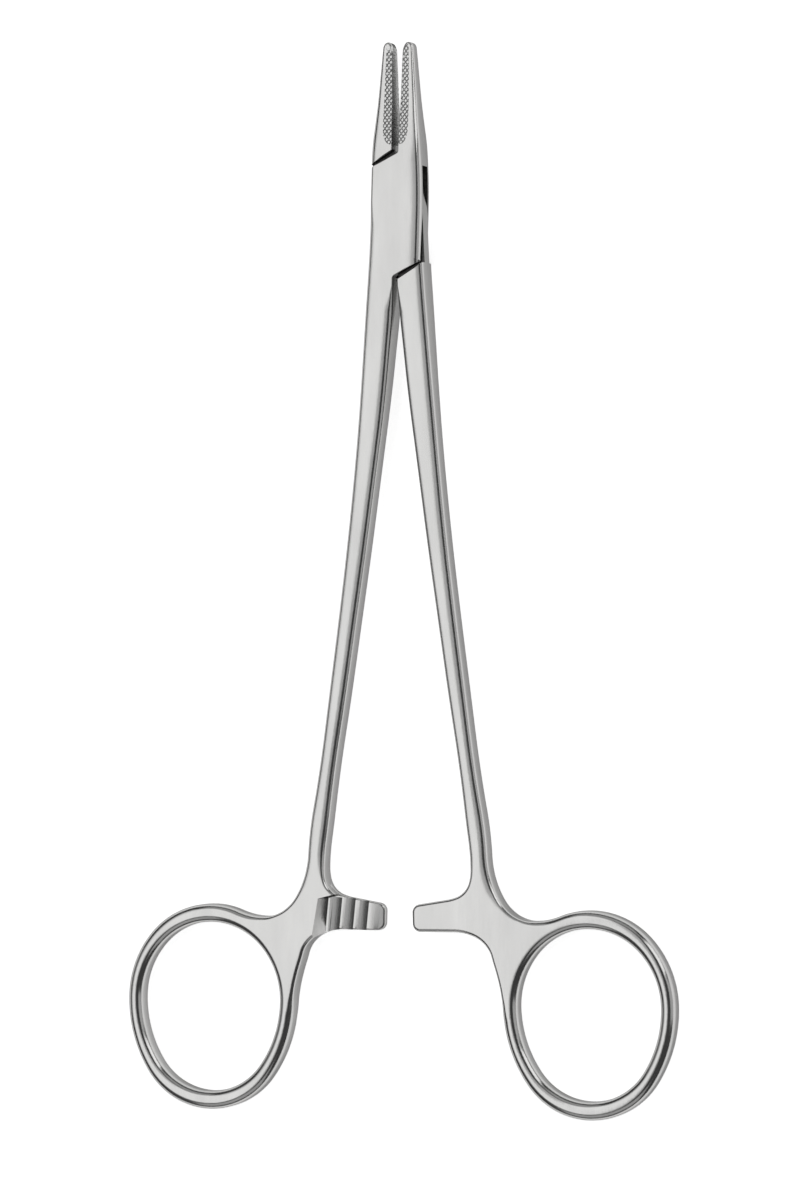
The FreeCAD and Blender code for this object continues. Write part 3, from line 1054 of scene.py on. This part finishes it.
# Materials
def new_material(name):
    """A node material, with its nodes, its links and its shader."""
    material = bpy.data.materials.new(name)
    material.use_nodes = True
    nodes = material.node_tree.nodes
    return material, nodes, material.node_tree.links, nodes["Principled BSDF"]


def vary(material, source, stops, socket):
    """Drive a socket of the shader by a noise, through two stops of shade or colour."""
    nodes = material.node_tree.nodes
    links = material.node_tree.links
    node = nodes.new("ShaderNodeValToRGB")
    for element, (place, shade) in zip(node.color_ramp.elements, stops):
        element.position = place
        element.color = (shade, shade, shade, 1) if isinstance(shade, float) else (*shade, 1)
    links.new(source.outputs["Fac"], node.inputs["Fac"])
    links.new(node.outputs["Color"], nodes["Principled BSDF"].inputs[socket])


def noise(nodes, links, scale, detail=2.0):
    """Noise over the object's own coordinates, with a scale along each axis."""
    coordinates = nodes.new("ShaderNodeTexCoord")
    mapping = nodes.new("ShaderNodeMapping")
    mapping.inputs["Scale"].default_value = scale
    texture = nodes.new("ShaderNodeTexNoise")
    texture.inputs["Scale"].default_value = 1.0
    texture.inputs["Detail"].default_value = detail
    links.new(coordinates.outputs["Object"], mapping.inputs["Vector"])
    links.new(mapping.outputs["Vector"], texture.inputs["Vector"])
    return texture


def steel_material():
    """Satin steel: fine brushing along the instrument, with slightly uneven polish."""
    material, nodes, links, shader = new_material("satin_steel")
    shader.inputs["Metallic"].default_value = 1.0
    shader.inputs["Specular Tint"].default_value = steel_tint
    brushing = noise(nodes, links, brushing_scale)
    cloud = noise(nodes, links, cloud_scale, 3.0)
    vary(material, cloud, steel_tones, "Base Color")
    vary(material, brushing, steel_polish, "Roughness")
    bump = nodes.new("ShaderNodeBump")
    bump.inputs["Strength"].default_value = brushing_strength
    bump.inputs["Distance"].default_value = brushing_depth
    links.new(brushing.outputs["Fac"], bump.inputs["Height"])
    links.new(bump.outputs["Normal"], shader.inputs["Normal"])
    return material


def painted_shade_material():
    """Inside of the lock and the steps: dull and near black, a painted shade that darkens the
    gaps between the halves.
    """
    material, nodes, links, shader = new_material("lock_painted_shade")
    shader.inputs["Metallic"].default_value = 1.0
    shader.inputs["Roughness"].default_value = painted_shade_roughness
    vary(material, noise(nodes, links, painted_shade_scale), painted_shade_tones, "Base Color")
    return material


def insert_material():
    """Darker, harder metal of the inserts, a little rough from the cutting of the grooves."""
    material, nodes, links, shader = new_material("insert_metal")
    shader.inputs["Metallic"].default_value = 1.0
    shader.inputs["Specular Tint"].default_value = insert_tint
    grain = noise(nodes, links, insert_scale)
    vary(material, grain, insert_tones, "Base Color")
    vary(material, grain, insert_polish, "Roughness")
    return material


def floor_material():
    """Pale table: its own light shade, shown nearly white where nothing shades it."""
    material, nodes, links, shader = new_material("pale_floor")
    shader.inputs["Base Color"].default_value = (floor_shade, floor_shade, floor_shade, 1)
    shader.inputs["Roughness"].default_value = 0.9
    shader.inputs["Specular IOR Level"].default_value = 0.0
    path = nodes.new("ShaderNodeLightPath")
    seen = nodes.new("ShaderNodeMath")
    seen.operation = "MAXIMUM"
    links.new(path.outputs["Is Camera Ray"], seen.inputs[0])
    links.new(path.outputs["Is Transmission Ray"], seen.inputs[1])
    mirrored = nodes.new("ShaderNodeMath")
    mirrored.operation = "MAXIMUM"
    links.new(seen.outputs["Value"], mirrored.inputs[0])
    links.new(path.outputs["Is Glossy Ray"], mirrored.inputs[1])
    amount = nodes.new("ShaderNodeMath")
    amount.operation = "MULTIPLY"
    amount.inputs[1].default_value = floor_glow
    links.new(mirrored.outputs["Value"], amount.inputs[0])
    shader.inputs["Emission Color"].default_value = (1, 1, 1, 1)
    links.new(amount.outputs["Value"], shader.inputs["Emission Strength"])
    return material


# Light, floor and camera
def area_light(name, place, size, radiance):
    """A panel that faces the instrument; its power follows from its size and radiance."""
    data = bpy.data.lights.new(name, "AREA")
    data.shape = "RECTANGLE"
    data.size, data.size_y = size
    data.energy = radiance * math.pi * size[0] * size[1]
    lamp = bpy.data.objects.new(name, data)
    lamp.location = place
    way = Vector(light_target) - Vector(place)
    lamp.rotation_euler = way.to_track_quat("-Z", "Y").to_euler()
    bpy.context.scene.collection.objects.link(lamp)


def set_floor():
    """A floor just under the instrument, which isn't part of it."""
    mesh = bpy.data.meshes.new("floor")
    corners = [(-1, -1), (1, -1), (1, 1), (-1, 1)]
    corners = [(x * floor_reach, y * floor_reach, 0) for x, y in corners]
    mesh.from_pydata(corners, [], [(0, 1, 2, 3)])
    floor = show(mesh, "floor")
    floor.data.materials.append(floor_material())
    floor.location.z = -floor_gap


def set_room():
    """The dim room and its lights."""
    world = bpy.data.worlds.new("room")
    world.use_nodes = True
    background = world.node_tree.nodes["Background"]
    background.inputs["Color"].default_value = (1, 1, 1, 1)
    background.inputs["Strength"].default_value = world_strength
    bpy.context.scene.world = world
    bpy.context.scene.view_settings.view_transform = "Standard"
    for name, angle, y, size, radiance in side_lights:
        turn = math.radians(angle)
        place = (math.sin(turn) * light_distance, y, math.cos(turn) * light_distance)
        area_light(name, place, size, radiance)
    for light in end_lights:
        area_light(*light)


def set_camera():
    """Above the instrument and a little to its right, far enough off for little perspective."""
    data = bpy.data.cameras.new("camera")
    data.sensor_fit = "VERTICAL"
    data.sensor_height = sensor_height
    data.lens = sensor_height * camera_distance / camera_view_height
    camera = bpy.data.objects.new("camera", data)
    way = Vector((math.sin(camera_turn), 0, math.cos(camera_turn)))
    camera.location = Vector(camera_target) + way * camera_distance
    camera.rotation_euler = (0, camera_turn, 0)
    bpy.context.scene.collection.objects.link(camera)
    bpy.context.scene.camera = camera


def paint_step_shade(mesh):
    """Give the upright walls of both steps the second material, whose near-black colour paints
    the shade in the steps' gaps.
    """
    count = len(mesh.polygons)
    middles = np.zeros(count * 3)
    normals = np.zeros(count * 3)
    mesh.polygons.foreach_get("center", middles)
    mesh.polygons.foreach_get("normal", normals)
    middles = middles.reshape(-1, 3)
    upright = np.abs(normals.reshape(-1, 3)[:, 2]) < 0.5
    upper = middles[:, 1] - step_height(middles[:, 0])
    lower = middles[:, 1] + step_height(-middles[:, 0])
    on_upper = (np.abs(upper) < step_paint) & (middles[:, 0] < step_paint_end)
    on_lower = (np.abs(lower) < step_paint) & (middles[:, 0] > -step_paint_end)
    on_step = on_upper | on_lower
    # Upright faces along the steps get the painted shade material
    mesh.polygons.foreach_set("material_index", (upright & on_step).astype(int))


def build_forgings(steel, painted_shade):
    """Both halves from one blank: ratchet and pocket cut, then the slot or the tenon."""
    forging = forging_mesh()
    forging.materials.append(steel)
    forging.materials.append(painted_shade)
    paint_step_shade(forging)
    for name, lock, node in (("box_side_forging", slot_cutter(), "box_half"),
                             ("tenon_side_forging", tenon_cutters(), "tenon_half")):
        over = node == "tenon_half"
        piece = show(forging.copy(), name)
        cut(piece, [pocket_cutter()] + ratchet_cutters(), steel)
        # The new faces of the slot or the tenon get the near-black painted shade material
        cut(piece, lock, painted_shade)
        if over:
            cut(piece, tenon_edge_cutters(), steel)
        lay(piece, over)
        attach(piece, "tenon_side" if over else "box_side")
        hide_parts(node)


def build_inserts(hard):
    """Both inserts, cut to the rooms of the jaws."""
    for name, plain_end, node in (("box_side_insert", hatch_end_box, "box_jaw_insert"),
                                  ("tenon_side_insert", hatch_end_tenon, "tenon_jaw_insert")):
        over = node == "tenon_jaw_insert"
        piece = show(insert_mesh(jaw_length - plain_end), name)
        piece.data.materials.append(hard)
        cut(piece, [pocket_cutter()], hard, "INTERSECT")
        lay(piece, over)
        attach(piece, "tenon_side" if over else "box_side")
        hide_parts(node)


def main():
    steel = steel_material()
    set_camera()
    set_floor()
    set_room()
    build_forgings(steel, painted_shade_material())
    build_inserts(insert_material())
    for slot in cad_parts["lock_pin"].material_slots:
        slot.material = steel


main()
